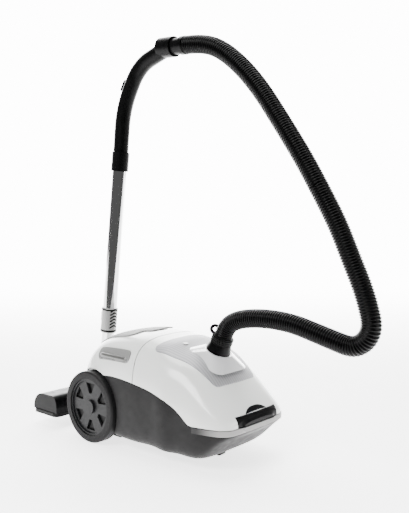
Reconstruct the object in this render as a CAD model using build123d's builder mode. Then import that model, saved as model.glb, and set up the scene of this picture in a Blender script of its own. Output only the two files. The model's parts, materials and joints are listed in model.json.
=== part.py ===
"""Canister vacuum cleaner with its hose, telescopic wand and parked floor nozzle.

Frame: +X towards the nose of the machine, +Y to its left, +Z up, floor at Z = 0.
The origin lies on the floor, midway between the nozzle's back and the machine's nose.
All sizes are in millimetres.
"""
from build123d import *
from math import atan2, cos, degrees, hypot, pi, radians, sin, tan
import os

# ---------------------------------------------------------------- driving dimensions
body_length = 454.0          # casing, from its rear face to its nose
body_width = 262.0           # casing, at its widest
body_height = 257.0          # top of the casing above the floor
body_rear_x = -147.0         # rear face of the casing
waist_z = 95.0               # height where the casing is widest
floor_gap = 25.0             # floor to the flat underside
wall = 3.0                   # casing wall
seam_gap = 0.8               # gap between neighbouring casing shells
lid_gap = 2.4                # gap at the lid's hinged edge
lid_seam_x = 55.0            # where the rear cover ends and the lid begins
fit_gap = 0.3                # gap between fixed neighbours
run_gap = 0.05               # radial running clearance on pins and shafts

wheel_radius = 83.5
wheel_width = 30.0
wheel_outer_y = 141.0        # outer face of each rear wheel
wheel_x = -84.0
well_gap = 5.0               # wheel to its well
axle_radius = 6.0
hub_ratio = 0.79             # hub rim radius as a share of the wheel's

caster_x = 205.0
caster_radius = 15.0
caster_width = 14.0
caster_trail = 8.0

bumper_z = 84.0
bumper_height = 12.5
bumper_x = 224.0
bumper_proud = 1.5

hose_radius = 20.0
port_x = 183.5               # a point on the inlet port's axis
port_z = 210.0
port_tilt = 23.15            # port axis, degrees forward of vertical
port_bore = 19.0

tube_radius = 17.5           # upper tube
inner_tube_radius = 15.5     # lower tube, which slides in the upper one
tube_wall = 1.2
wand_foot_x = -204.7         # where the wand's axis meets the floor
wand_slope = 0.12            # forward lean of the wand, per unit of height
lower_tube_start = 150.0     # distances along the wand's axis
lower_tube_end = 600.0
collar_start = 234.0
collar_end = 297.0
collar_radius = 19.8
upper_tube_end = 664.0
grip_radius = 18.5
socket_radius = 23.0

nozzle_front_x = -309.0
nozzle_length = 96.0
nozzle_width = 276.0
nozzle_sole_z = 31.0
nozzle_height = 55.0
nozzle_pivot_x = -240.0
nozzle_pivot_z = 62.0

motor_y = -42.0
motor_z = 104.0
motor_radius = 40.0
motor_housing_radius = 54.0
motor_rear_x = -69.0
bulkhead_x = 48.0
reel_x = -38.0
reel_y = 57.0
reel_z = 116.0
reel_radius = 70.0
reel_width = 44.0

os.makedirs("parts", exist_ok=True)
pieces = []


def keep(builder, label):
    """Name a finished piece and write its STEP file."""
    builder.part.label = label
    pieces.append(builder.part)
    export_step(builder.part, f"parts/{label}.step")


# ---------------------------------------------------------------- casing form
# Share of the length, share of the half width, top and bottom height, squareness of the top.
stations = [
    (0.000, 0.504, 178, 62, 3.0),
    (0.013, 0.702, 200, 48, 3.0),
    (0.044, 0.870, 219, 34, 3.2),
    (0.104, 0.962, 237, 22, 3.4),
    (0.203, 0.992, 251, 16, 3.6),
    (0.335, 1.000, 257, 15, 3.7),
    (0.445, 1.000, 254.5, 15, 3.6),
    (0.577, 0.985, 247, 15, 3.3),
    (0.687, 0.962, 232, 15, 3.0),
    (0.775, 0.931, 211, 15, 2.8),
    (0.852, 0.893, 181, 26, 2.7),
    (0.918, 0.828, 150, 54, 2.7),
    (0.963, 0.748, 128, 72, 2.7),
    (0.988, 0.590, 114, 82, 2.9),
    (1.000, 0.390, 105, 87, 3.0),
]
top_design = 257.0
bottom_squareness = 5.0


def station_height(z):
    """Scale a design height above the waist with the body's height."""
    return waist_z + (z - waist_z) * (body_height - waist_z) / (top_design - waist_z)


def top_at(x):
    """Height of the casing's crown at a place along its length."""
    share = (x - body_rear_x) / body_length
    for left, right in zip(stations, stations[1:]):
        if left[0] <= share <= right[0]:
            step = (share - left[0]) / (right[0] - left[0])
            return station_height(left[2] + step * (right[2] - left[2]))
    return waist_z


def corner(from_side, half_width, rise, squareness):
    """A squared quarter arch from the waist up to the crown, as Bezier points."""
    pull = (8 * 0.5 ** (1 / squareness) - 4) / 3
    side = from_side * half_width
    crown = waist_z + rise
    return [(side, waist_z), (side, waist_z + pull * rise), (pull * side, crown), (0, crown)]


def casing_solid(inset):
    """The whole casing form, moved inwards by the inset."""
    middle = body_rear_x + body_length / 2
    squeeze = (body_length - 2 * inset) / body_length
    with BuildPart() as form:
        for share, width_share, top, bottom, squareness in stations:
            x = middle + (body_rear_x + share * body_length - middle) * squeeze
            half = width_share * body_width / 2 - inset
            crown = station_height(top) - waist_z - inset
            depth = waist_z - bottom - inset
            with BuildSketch(Plane(origin=(x, 0, 0), x_dir=(0, 1, 0), z_dir=(1, 0, 0))):
                with BuildLine():
                    Bezier(*corner(-1, half, crown, squareness))
                    Bezier(*reversed(corner(1, half, crown, squareness)))
                    Bezier(*corner(1, half, -depth, bottom_squareness))
                    Bezier(*reversed(corner(-1, half, -depth, bottom_squareness)))
                make_face()
        loft()
    return form.part


reach = 400.0                # size of cutting blocks, larger than the machine

outer_form = casing_solid(0)
skin_form = casing_solid(wall)
proud_form = casing_solid(-bumper_proud)
panel_depth = 1.3
pocket_form = casing_solid(panel_depth)

well_radius = wheel_radius + well_gap
well_y = wheel_outer_y - wheel_width - fit_gap * 10

with BuildPart() as well_cutters:
    with BuildSketch(Plane.XZ.offset(well_y)):
        with Locations((wheel_x, wheel_radius)):
            Circle(well_radius)
    extrude(amount=60)
    mirror(about=Plane.XZ)

with BuildPart() as well_liners:
    with BuildSketch(Plane.XZ.offset(well_y - wall)):
        with Locations((wheel_x, wheel_radius)):
            Circle(well_radius + wall)
    extrude(amount=60)
    mirror(about=Plane.XZ)
    add(pocket_form, mode=Mode.INTERSECT)

with BuildPart() as hollow:
    add(skin_form)
    with Locations((0, 0, floor_gap + wall)):
        Box(3 * reach, reach, reach, align=(Align.CENTER, Align.CENTER, Align.MAX),
            mode=Mode.SUBTRACT)

with BuildPart() as casing:
    add(outer_form)
    add(hollow.part, mode=Mode.SUBTRACT)
    add(well_liners.part)
    add(well_cutters.part, mode=Mode.SUBTRACT)
    with Locations((0, 0, floor_gap)):
        Box(3 * reach, reach, reach, align=(Align.CENTER, Align.CENTER, Align.MAX),
            mode=Mode.SUBTRACT)

# The side seam falls from the rear wheel to the nose in one long curve.
seam_points = [(-64, 161), (-14, 164.5), (40, 161.5), (97, 153), (139, 142), (178, 124.5), (205, 105)]
seam_low_x = 226.0
seam_low_z = bumper_z + bumper_height


def seam_region(lift):
    """Everything under the side seam, with its edge raised by the lift."""
    with BuildPart() as region:
        with BuildSketch(Plane.XZ):
            with BuildLine():
                start = (seam_points[0][0], seam_points[0][1] + lift)
                raised = [(x, z + lift) for x, z in seam_points]
                raised.append((seam_low_x, seam_low_z + lift))
                Spline(raised, tangents=[(1, 0.05), (1, 0)])
                Polyline((seam_low_x, seam_low_z + lift), (reach, seam_low_z + lift),
                         (reach, -reach), (-reach, -reach), (-reach, start[1]), start)
            make_face()
        extrude(amount=reach / 2, both=True)
    return region.part


lower_region = seam_region(-seam_gap / 2)
upper_limit = seam_region(seam_gap / 2)







def block(x0, x1, y0, y1, z0, z1):
    """A plain block between two corners, to be placed by its caller's mode."""
    middle = Pos((x0 + x1) / 2, (y0 + y1) / 2, (z0 + z1) / 2)
    return middle * Box(x1 - x0, y1 - y0, z1 - z0, mode=Mode.PRIVATE)


def rod(start, end, radius):
    """A round bar between two points."""
    axis = Vector(*end) - Vector(*start)
    plane = Plane(origin=start, z_dir=axis)
    upward = (Align.CENTER, Align.CENTER, Align.MIN)
    return plane * Cylinder(radius, axis.length, align=upward, mode=Mode.PRIVATE)


# ---------------------------------------------------------------- openings in the shells
pedal_plane = Plane(origin=(-19, -116, 213), x_dir=(1, 0, 0), z_dir=(0, -0.6, 0.8))
pedal_length = 108.0
pedal_height = 25.0
pedal_gap = 0.7
pedal_thick = 5.0


def pedal_cutter(gap):
    """The pedal's rounded outline, driven through the shoulder."""
    with BuildPart() as cutter:
        with BuildSketch(pedal_plane):
            RectangleRounded(pedal_length + 2 * gap, pedal_height + 2 * gap, 9 + gap)
        extrude(amount=22, both=True)
    return cutter.part


handle_front_x = 8.0
handle_rear_x = -128.0
handle_width = 58.0
handle_pivot_x = 0.0
handle_pivot_z = 248.0
handle_thick = 7.0
handle_well_front_x = 17.0
handle_well_depth = 26.0


def plan_block(x0, x1, width, corner_radius):
    """A tall block with a rounded outline seen from above."""
    with BuildPart() as tall:
        with BuildSketch(Plane.XY.offset(waist_z + 30)):
            with Locations(((x0 + x1) / 2, 0)):
                RectangleRounded(x1 - x0, width, corner_radius)
        extrude(amount=reach)
    return tall.part


handle_gap = 1.2
plate_width = 154.0
plate_front_x = -8.0
plate_thick = 4.0
plate_front_gap = 4.8
handle_well = plan_block(handle_rear_x - handle_gap, handle_well_front_x,
                         handle_width + 2 * handle_gap, 14)
well_floor_form = Pos(0, 0, -handle_well_depth) * outer_form
well_under_form = Pos(0, 0, -handle_well_depth - wall) * outer_form
plate_recess = plan_block(handle_rear_x - handle_gap, plate_front_x + plate_front_gap,
                          plate_width + 2 * handle_gap, 24)
plate_floor_form = Pos(0, 0, -plate_thick - fit_gap * 2) * outer_form
plate_under_form = Pos(0, 0, -plate_thick - fit_gap * 2 - wall) * outer_form

# The silver panel's outline on the lid: wide and bowed behind, narrow in front.
panel_rear_x = 80.0
panel_front_x = 249.0
panel_rear_half = 98.0
panel_front_half = 66.0


def panel_cutter(gap):
    """The lid panel's outline seen from above, as a tall block."""
    with BuildPart() as tall:
        with BuildSketch(Plane.XY.offset(waist_z + 10)) as outline:
            with BuildLine():
                rear_left = (panel_rear_x + 4, panel_rear_half)
                rear_right = (panel_rear_x + 4, -panel_rear_half)
                front_left = (panel_front_x - 6, panel_front_half)
                front_right = (panel_front_x - 6, -panel_front_half)
                ThreePointArc(rear_right, (panel_rear_x + 8, 0), rear_left)
                Line(rear_left, front_left)
                ThreePointArc(front_left, (panel_front_x, 0), front_right)
                Line(front_right, rear_right)
            make_face()
            fillet(outline.vertices(), 14)
            offset(amount=gap)
        extrude(amount=reach)
    return tall.part


latch_half = 66.0
latch_back_x = 279.0
latch_low_z = 98.5
latch_high_z = 118.0
port_dir = Vector(sin(radians(port_tilt)), 0, cos(radians(port_tilt)))


def on_port(distance):
    """A point on the inlet port's axis."""
    return (port_x + distance * port_dir.X, 0, port_z + distance * port_dir.Z)


def port_plane(distance):
    """A plane square to the inlet port's axis."""
    return Plane(origin=on_port(distance), x_dir=(port_dir.Z, 0, -port_dir.X),
                 z_dir=(port_dir.X, 0, port_dir.Z))


# ---------------------------------------------------------------- lower shell
rear_window = (60.0, 84.0, 54.0)      # half width, low edge, height of the exhaust opening
caster_pocket_radius = 30.0
caster_pocket_z = 41.0
stem_radius = 5.0
stem_top_z = 62.0
cradle_x = (-56.0, 20.0)
gland_y = 40.0
gland_z = 149.0
gland_radius = 9.0
boss_radius = 13.0

with BuildPart() as lower_shell:
    add(casing.part)
    add(lower_region, mode=Mode.INTERSECT)
    add(block(bumper_x - fit_gap, reach, -reach, reach, bumper_z - fit_gap, reach),
        mode=Mode.SUBTRACT)
    for side in (-1, 1):
        add(rod((wheel_x, side * (well_y - 22), wheel_radius),
                (wheel_x, side * (well_y - 0.5), wheel_radius), boss_radius))
        add(rod((wheel_x, side * (well_y - 30), wheel_radius),
                (wheel_x, side * (well_y + 20), wheel_radius), axle_radius + run_gap),
            mode=Mode.SUBTRACT)
    pocket_wall = rod((caster_x, 0, floor_gap + 0.5), (caster_x, 0, caster_pocket_z + wall),
                      caster_pocket_radius + wall)
    add(pocket_wall)
    add(rod((caster_x, 0, caster_pocket_z), (caster_x, 0, stem_top_z + 4), stem_radius + 5))
    add(rod((caster_x, 0, -1), (caster_x, 0, caster_pocket_z), caster_pocket_radius),
        mode=Mode.SUBTRACT)
    add(rod((caster_x, 0, 20), (caster_x, 0, stem_top_z + fit_gap), stem_radius + run_gap),
        mode=Mode.SUBTRACT)
    half, low, height = rear_window
    add(block(body_rear_x - 5, body_rear_x + 12, -half, half, low, low + height), mode=Mode.SUBTRACT)
    add(rod((body_rear_x - 9, gland_y, gland_z), (body_rear_x + 19, gland_y, gland_z),
            gland_radius + run_gap), mode=Mode.SUBTRACT)
    for x in cradle_x:
        cradle = block(x, x + 5, motor_y - 46, motor_y + 46, floor_gap + 1.5, motor_z - 10)
        saddle = rod((x - 1, motor_y, motor_z), (x + 6, motor_y, motor_z),
                     motor_housing_radius + fit_gap)
        add(cradle - saddle)
keep(lower_shell, "lower_shell")

# ---------------------------------------------------------------- rear cover
with BuildPart() as handle_tray:
    add(plan_block(handle_rear_x - handle_gap - wall, handle_well_front_x + wall,
                   handle_width + 2 * handle_gap + 2 * wall, 14 + wall))
    add(pocket_form, mode=Mode.INTERSECT)
    add(well_under_form, mode=Mode.SUBTRACT)

with BuildPart() as plate_tray:
    add(plan_block(handle_rear_x - handle_gap - wall, plate_front_x + plate_front_gap + wall,
                   plate_width + 2 * handle_gap + 2 * wall, 24 + wall))
    add(pocket_form, mode=Mode.INTERSECT)
    add(plate_under_form, mode=Mode.SUBTRACT)

with BuildPart() as plate_space:
    add(plate_recess)
    add(plate_floor_form, mode=Mode.SUBTRACT)

with BuildPart() as handle_space:
    add(handle_well)
    add(well_floor_form, mode=Mode.SUBTRACT)

pedal_opening = pedal_cutter(pedal_gap)

with BuildPart() as rear_cover:
    add(casing.part)
    add(upper_limit, mode=Mode.SUBTRACT)
    add(block(lid_seam_x - lid_gap, reach, -reach, reach, -reach, reach), mode=Mode.SUBTRACT)
    add(plate_tray.part)
    add(handle_tray.part)
    add(plate_space.part, mode=Mode.SUBTRACT)
    add(handle_space.part, mode=Mode.SUBTRACT)
    add(pedal_opening, mode=Mode.SUBTRACT)
    add(pedal_opening.mirror(Plane.XZ), mode=Mode.SUBTRACT)
keep(rear_cover, "rear_cover")

# ---------------------------------------------------------------- front bumper band
with BuildPart() as front_bumper:
    add(proud_form)
    add(casing_solid(wall + fit_gap), mode=Mode.SUBTRACT)
    add(block(bumper_x, reach, -reach, reach, bumper_z, bumper_z + bumper_height - seam_gap),
        mode=Mode.INTERSECT)
keep(front_bumper, "front_bumper")

# ---------------------------------------------------------------- lid
mark_x = 124.0
mark_y = -31.0


def indicator_rod(low, high, radius):
    """A short bar square to the lid at the bag indicator's place."""
    z = top_at(mark_x) - 1.0
    lean = Vector(0.2, -0.04, 0.98)
    base = (mark_x + low * lean.X, mark_y + low * lean.Y, z + low * lean.Z)
    top = (mark_x + high * lean.X, mark_y + high * lean.Y, z + high * lean.Z)
    return rod(base, top, radius)


hinge_x = lid_seam_x - 17.0
hinge_z = top_at(lid_seam_x) - 17.0
hinge_arm_y = (-52.0, 52.0)
arm_width = 8.0
pin_radius = 3.0

with BuildPart() as panel_recess:
    add(panel_cutter(fit_gap))
    add(pocket_form, mode=Mode.SUBTRACT)

lid_lip = 1.3                  # lid thickness left at the hinged edge
with BuildPart() as lip_relief:
    add(block(lid_seam_x - 1, lid_seam_x + 3.5, -90, 90, hinge_z, reach))
    add(Pos(0, 0, -lid_lip) * outer_form, mode=Mode.INTERSECT)

with BuildPart() as lid_shell:
    add(casing.part)
    add(upper_limit, mode=Mode.SUBTRACT)
    add(block(-reach, lid_seam_x, -reach, reach, -reach, reach), mode=Mode.SUBTRACT)
    add(panel_recess.part, mode=Mode.SUBTRACT)
    add(block(latch_back_x, reach, -latch_half - 0.6, latch_half + 0.6,
              -reach, latch_high_z + 0.6), mode=Mode.SUBTRACT)
    add(rod(on_port(-40), on_port(60), 30), mode=Mode.SUBTRACT)
    add(indicator_rod(-12, 12, 6.2), mode=Mode.SUBTRACT)
    add(lip_relief.part, mode=Mode.SUBTRACT)
keep(lid_shell, "lid_shell")


# Each arm dips under the rear cover's edge, so that the edge fits into it when the lid is up.
arm_drop = 20.0
arm_reach = 33.0

with BuildPart() as hinge_arms:
    for y in hinge_arm_y:
        y0 = y - arm_width / 2
        y1 = y + arm_width / 2
        roof = top_at(lid_seam_x + 12) - wall - 4.4
        heel = block(hinge_x - 6, hinge_x + 8, y0, y1, hinge_z - arm_drop, hinge_z)
        bar = block(hinge_x - 6, hinge_x + arm_reach, y0, y1, hinge_z - arm_drop,
                    hinge_z - arm_drop + 8)
        post = block(hinge_x + arm_reach - 8, hinge_x + arm_reach, y0, y1, hinge_z - arm_drop, roof)
        eye = rod((hinge_x, y0, hinge_z), (hinge_x, y1, hinge_z), 6)
        bore = rod((hinge_x, y0 - 1, hinge_z), (hinge_x, y1 + 1, hinge_z), pin_radius + run_gap)
        add((heel + bar + post + eye) - bore)
keep(hinge_arms, "lid_hinge_arms")

with BuildPart() as hinge_pins:
    for y in hinge_arm_y:
        add(rod((hinge_x, y - 9, hinge_z), (hinge_x, y + 9, hinge_z), pin_radius))
        for side in (-1, 1):
            cheek_y = y + side * 8
            ear = block(hinge_x - 6, hinge_x + 5, cheek_y - 1.5, cheek_y + 1.5,
                        hinge_z - 6, top_at(hinge_x - 6) - wall - 4.6)
            add(ear)
keep(hinge_pins, "lid_hinge_pins")

with BuildPart() as lid_panel:
    add(casing_solid(-0.7))
    add(panel_cutter(0), mode=Mode.INTERSECT)
    add(pocket_form, mode=Mode.SUBTRACT)
    add(rod(on_port(-40), on_port(60), 31), mode=Mode.SUBTRACT)
    add(indicator_rod(-12, 12, 6.2), mode=Mode.SUBTRACT)
keep(lid_panel, "lid_panel")

# ---------------------------------------------------------------- inlet port and its collar
collar_base = 112.0
collar_top = 60.0
collar_low = 4.0
collar_high = 25.0

with BuildPart() as port_collar:
    with BuildSketch(port_plane(collar_low)):
        RectangleRounded(collar_base, collar_base - 6, 20)
    with BuildSketch(port_plane(collar_high)):
        RectangleRounded(collar_top, collar_top, 26)
    loft()
    add(casing_solid(-0.9), mode=Mode.SUBTRACT)
    sleeve = rod(on_port(-14), on_port(collar_high - 1), 28.5)
    add(sleeve)
    add(rod(on_port(-15), on_port(4), port_bore - 2.5), mode=Mode.SUBTRACT)
    add(rod(on_port(3.9), on_port(collar_high + 5), 25 + run_gap), mode=Mode.SUBTRACT)
keep(port_collar, "port_collar")

with BuildPart() as indicator:
    add(indicator_rod(-3, 1.6, 6))
keep(indicator, "bag_indicator")

# ---------------------------------------------------------------- lid latch
latch_pin_z = latch_high_z - 5.0
latch_pin_x = 288.0

with BuildPart() as latch:
    add(casing_solid(-0.6))
    add(Pos(-9, 0, -7) * outer_form, mode=Mode.SUBTRACT)
    add(block(latch_back_x + 1, reach, -latch_half, latch_half, latch_low_z, latch_high_z),
        mode=Mode.INTERSECT)
keep(latch, "lid_latch")

# ---------------------------------------------------------------- pedals
with BuildPart() as power_pedal:
    add(casing_solid(-1.2))
    add(casing_solid(pedal_thick), mode=Mode.SUBTRACT)
    add(pedal_cutter(0), mode=Mode.INTERSECT)
keep(power_pedal, "power_pedal")

with BuildPart() as rewind_pedal:
    add(power_pedal.part.mirror(Plane.XZ))
keep(rewind_pedal, "rewind_pedal")

# ---------------------------------------------------------------- carry handle
handle_block = plan_block(handle_rear_x, handle_front_x, handle_width, 12)

with BuildPart() as handle_plate:
    add(Pos(0, 0, 2.5) * outer_form)
    add(Pos(0, 0, -plate_thick) * outer_form, mode=Mode.SUBTRACT)
    add(plan_block(handle_rear_x, plate_front_x, plate_width, 22), mode=Mode.INTERSECT)

with BuildPart() as carry_handle:
    add(Pos(0, 0, 2.5) * outer_form)
    add(Pos(0, 0, -handle_thick) * outer_form, mode=Mode.SUBTRACT)
    add(handle_block, mode=Mode.INTERSECT)
    add(handle_plate.part)
    for y in (-20, 20):
        add(rod((handle_pivot_x, y - 5, handle_pivot_z), (handle_pivot_x, y + 5, handle_pivot_z), 6.5))
    add(rod((handle_pivot_x, -60, handle_pivot_z), (handle_pivot_x, 60, handle_pivot_z),
            pin_radius + run_gap), mode=Mode.SUBTRACT)
keep(carry_handle, "carry_handle")

with BuildPart() as handle_pin:
    half = handle_width / 2 + handle_gap - 0.3
    add(rod((handle_pivot_x, -half, handle_pivot_z), (handle_pivot_x, half, handle_pivot_z), pin_radius))
keep(handle_pin, "carry_handle_pin")

# ---------------------------------------------------------------- rear wheels
hub_radius = wheel_radius * hub_ratio
wheel_inner_y = wheel_outer_y - wheel_width
spoke_pockets = 6
pocket_ring = 43.0
pocket_floor = 17.0
cap_radius = 16.0
tyre_round = 5.0


def wheel_disc(y_near, y_far, radius):
    """A disc on the right wheel's axis between two depths."""
    return rod((wheel_x, -y_near, wheel_radius), (wheel_x, -y_far, wheel_radius), radius)


with BuildPart() as tyre:
    add(wheel_disc(wheel_inner_y, wheel_outer_y, wheel_radius))
    fillet(tyre.edges().filter_by(GeomType.CIRCLE), tyre_round)
    add(wheel_disc(wheel_inner_y - 1, wheel_outer_y + 1, hub_radius + fit_gap / 2), mode=Mode.SUBTRACT)
keep(tyre, "wheel_right_tyre")

with BuildPart() as hub:
    add(wheel_disc(wheel_inner_y + 2, wheel_outer_y - 3, hub_radius))
    add(wheel_disc(wheel_inner_y + 1, wheel_inner_y + 14, hub_radius - 5), mode=Mode.SUBTRACT)
    add(wheel_disc(wheel_outer_y - 7, wheel_outer_y, hub_radius - 4), mode=Mode.SUBTRACT)
    add(wheel_disc(wheel_inner_y, wheel_outer_y - 5, 14))
    with BuildSketch(Plane.XZ.offset(wheel_inner_y + pocket_floor)):
        with Locations((wheel_x, wheel_radius)):
            with PolarLocations(pocket_ring, spoke_pockets, start_angle=90):
                Trapezoid(31, 24, 65, rotation=90)
    extrude(amount=wheel_width, mode=Mode.SUBTRACT)
    add(wheel_disc(wheel_inner_y - 1, wheel_outer_y - 4.5, axle_radius + run_gap), mode=Mode.SUBTRACT)
    add(wheel_disc(wheel_outer_y - 4.5, wheel_outer_y - 1, cap_radius))
keep(hub, "wheel_right_hub")

for source, label in ((tyre, "tyre"), (hub, "hub")):
    with BuildPart() as twin:
        add(source.part.mirror(Plane.XZ))
    keep(twin, f"wheel_left_{label}")

with BuildPart() as axles:
    for side in (-1, 1):
        add(rod((wheel_x, side * (well_y - 24), wheel_radius),
                (wheel_x, side * (wheel_outer_y - 5), wheel_radius), axle_radius))
keep(axles, "rear_axles")

# ---------------------------------------------------------------- front caster
caster_axle_x = caster_x - caster_trail
caster_axle_radius = 2.5

with BuildPart() as caster_fork:
    add(rod((caster_x, 0, caster_pocket_z - 5), (caster_x, 0, caster_pocket_z - 1), 20))
    add(rod((caster_x, 0, caster_pocket_z - 2), (caster_x, 0, stem_top_z), stem_radius))
    for side in (-1, 1):
        inner = side * (caster_width / 2 + 0.5)
        outer = side * (caster_width / 2 + 3.5)
        low_y = min(inner, outer)
        high_y = max(inner, outer)
        add(block(caster_axle_x - 6, caster_x + 6, low_y, high_y, caster_radius - 5,
                  caster_pocket_z - 3))
    add(rod((caster_axle_x, -20, caster_radius), (caster_axle_x, 20, caster_radius),
            caster_axle_radius + run_gap), mode=Mode.SUBTRACT)
keep(caster_fork, "caster_fork")

with BuildPart() as caster_wheel:
    half = caster_width / 2
    add(rod((caster_axle_x, -half, caster_radius), (caster_axle_x, half, caster_radius), caster_radius))
    fillet(caster_wheel.edges().filter_by(GeomType.CIRCLE), 2)
    add(rod((caster_axle_x, -half - 1, caster_radius), (caster_axle_x, half + 1, caster_radius),
            caster_axle_radius + run_gap), mode=Mode.SUBTRACT)
keep(caster_wheel, "caster_wheel")

with BuildPart() as caster_axle:
    half = caster_width / 2 + 3.5
    add(rod((caster_axle_x, -half, caster_radius), (caster_axle_x, half, caster_radius),
            caster_axle_radius))
keep(caster_axle, "caster_axle")

# ---------------------------------------------------------------- inside: bulkhead and motor
inner_half = body_width / 2 - wall - 1.0
deck_z = floor_gap + wall

with BuildPart() as bulkhead:
    add(casing_solid(wall + fit_gap))
    add(block(bulkhead_x - 3, bulkhead_x + 1, -reach, reach, deck_z + 0.1, hinge_z - arm_drop - 5),
        mode=Mode.INTERSECT)
    add(rod((bulkhead_x - 10, motor_y, motor_z), (bulkhead_x + 10, motor_y, motor_z), 30),
        mode=Mode.SUBTRACT)
keep(bulkhead, "motor_bulkhead")

housing_front_x = bulkhead_x - 8.0


def motor_ring(x0, x1, outer, inner):
    """A ring about the motor's axis."""
    solid = rod((x0, motor_y, motor_z), (x1, motor_y, motor_z), outer)
    return solid - rod((x0 - 1, motor_y, motor_z), (x1 + 1, motor_y, motor_z), inner)


with BuildPart() as motor_housing:
    add(motor_ring(motor_rear_x, housing_front_x, motor_housing_radius, motor_housing_radius - 3))
    add(motor_ring(motor_rear_x, motor_rear_x + 3, motor_housing_radius - 1, 22))
    add(motor_ring(housing_front_x - 3, housing_front_x, motor_housing_radius - 1, 30))
    for x in (motor_rear_x + 14, motor_rear_x + 50):
        add(motor_ring(x, x + 4, motor_housing_radius - 1, motor_radius + fit_gap / 2))
keep(motor_housing, "motor_housing")

with BuildPart() as mount_ring:
    add(motor_ring(housing_front_x + 0.1, bulkhead_x - 3.1, 46, 34))
keep(mount_ring, "motor_mount_ring")

shaft_radius = 4.0
with BuildPart() as motor:
    add(rod((motor_rear_x + 8, motor_y, motor_z), (motor_rear_x + 62, motor_y, motor_z), motor_radius))
    fillet(motor.edges().filter_by(GeomType.CIRCLE), 3)
    add(rod((motor_rear_x, motor_y, motor_z), (motor_rear_x + 80, motor_y, motor_z),
            shaft_radius + run_gap), mode=Mode.SUBTRACT)
keep(motor, "motor")

fan_x = motor_rear_x + 78.0
with BuildPart() as shaft:
    add(rod((motor_rear_x + 5, motor_y, motor_z), (fan_x + 18, motor_y, motor_z), shaft_radius))
keep(shaft, "motor_shaft")

fan_blades = 9
with BuildPart() as fan:
    add(motor_ring(fan_x, fan_x + 2, 44, shaft_radius + 0.02))
    add(motor_ring(fan_x, fan_x + 16, 9, shaft_radius + 0.02))
    with BuildSketch(Plane(origin=(fan_x + 1, motor_y, motor_z), x_dir=(0, 1, 0), z_dir=(1, 0, 0))):
        with PolarLocations(25, fan_blades):
            Rectangle(34, 2.4, rotation=25)
    extrude(amount=13)
keep(fan, "fan_impeller")

with BuildPart() as filter_frame:
    y0 = motor_y - 42
    y1 = motor_y + 42
    add(block(bulkhead_x + 1.2, bulkhead_x + 17, y0, y1, motor_z - 42, motor_z + 42))
    add(block(bulkhead_x, bulkhead_x + 20, y0 + 5, y1 - 5, motor_z - 37, motor_z + 37),
        mode=Mode.SUBTRACT)
keep(filter_frame, "motor_filter_frame")

with BuildPart() as filter_foam:
    add(block(bulkhead_x + 1.6, bulkhead_x + 15, motor_y - 36.7, motor_y + 36.7,
              motor_z - 36.7, motor_z + 36.7))
keep(filter_foam, "motor_filter")

# ---------------------------------------------------------------- inside: cord reel
reel_half = reel_width / 2
spindle_radius = 5.0


def reel_disc(y0, y1, radius):
    """A disc on the cord reel's axis."""
    return rod((reel_x, y0, reel_z), (reel_x, y1, reel_z), radius)


with BuildPart() as reel:
    add(reel_disc(reel_y - reel_half, reel_y - reel_half + 2.5, reel_radius))
    add(reel_disc(reel_y + reel_half - 2.5, reel_y + reel_half, reel_radius))
    add(reel_disc(reel_y - reel_half, reel_y + reel_half, 28))
    add(reel_disc(0, 120, spindle_radius + run_gap), mode=Mode.SUBTRACT)
keep(reel, "cord_reel")

with BuildPart() as spindle:
    add(reel_disc(reel_y - reel_half - 6, reel_y + reel_half + 6, spindle_radius))
keep(spindle, "reel_spindle")

with BuildPart() as reel_stand:
    for side in (-1, 1):
        near = reel_y + side * (reel_half + 1.5)
        far = reel_y + side * (reel_half + 5.5)
        add(block(reel_x - 14, reel_x + 14, min(near, far), max(near, far), deck_z + 0.1, reel_z + 12))
    add(reel_disc(0, 120, spindle_radius + 0.03), mode=Mode.SUBTRACT)
keep(reel_stand, "reel_stand")

# ---------------------------------------------------------------- inside: controls, exhaust, bag
with BuildPart() as board:
    add(block(bulkhead_x - 6, bulkhead_x - 4.4, -30, 44, 166, 204))
    add(block(bulkhead_x - 18, bulkhead_x - 6, -20, 0, 174, 194))
    add(block(bulkhead_x - 14, bulkhead_x - 6, 15, 38, 172, 196))
    for y in (-24, 38):
        add(block(bulkhead_x - 4.4, bulkhead_x - 3.1, y - 3, y + 3, 170, 176))
keep(board, "control_board")

half, low, height = rear_window
with BuildPart() as grille:
    add(block(body_rear_x - 1, body_rear_x + 2.6, -half + fit_gap, half - fit_gap,
              low + fit_gap, low + height - fit_gap))
    slots = 7
    for i in range(slots):
        z = low + 7 + i * 6.5
        add(block(body_rear_x - 5, body_rear_x + 5, -half + 8, half - 8, z - 1.6, z + 1.6),
            mode=Mode.SUBTRACT)
keep(grille, "exhaust_grille")

with BuildPart() as exhaust:
    add(block(body_rear_x + 3, body_rear_x + 16, -half + 3, half - 3, low + 3, low + height - 3))
keep(exhaust, "exhaust_filter")

with BuildPart() as gland:
    add(rod((body_rear_x - 3, gland_y, gland_z), (body_rear_x + 8, gland_y, gland_z), gland_radius))
    add(rod((body_rear_x - 4, gland_y, gland_z), (body_rear_x + 9, gland_y, gland_z), 4),
        mode=Mode.SUBTRACT)
keep(gland, "cord_gland")

bag_low = 68.0
bag_high = 168.0
with BuildPart() as bag:
    add(block(82, 226, -88, 88, bag_low, bag_high))
    fillet(bag.edges(), 20)
keep(bag, "dust_bag")

with BuildPart() as bag_plate:
    with BuildSketch(port_plane(-20)):
        RectangleRounded(96, 84, 8)
        Circle(15, mode=Mode.SUBTRACT)
    extrude(amount=4)
keep(bag_plate, "bag_collar")

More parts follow.
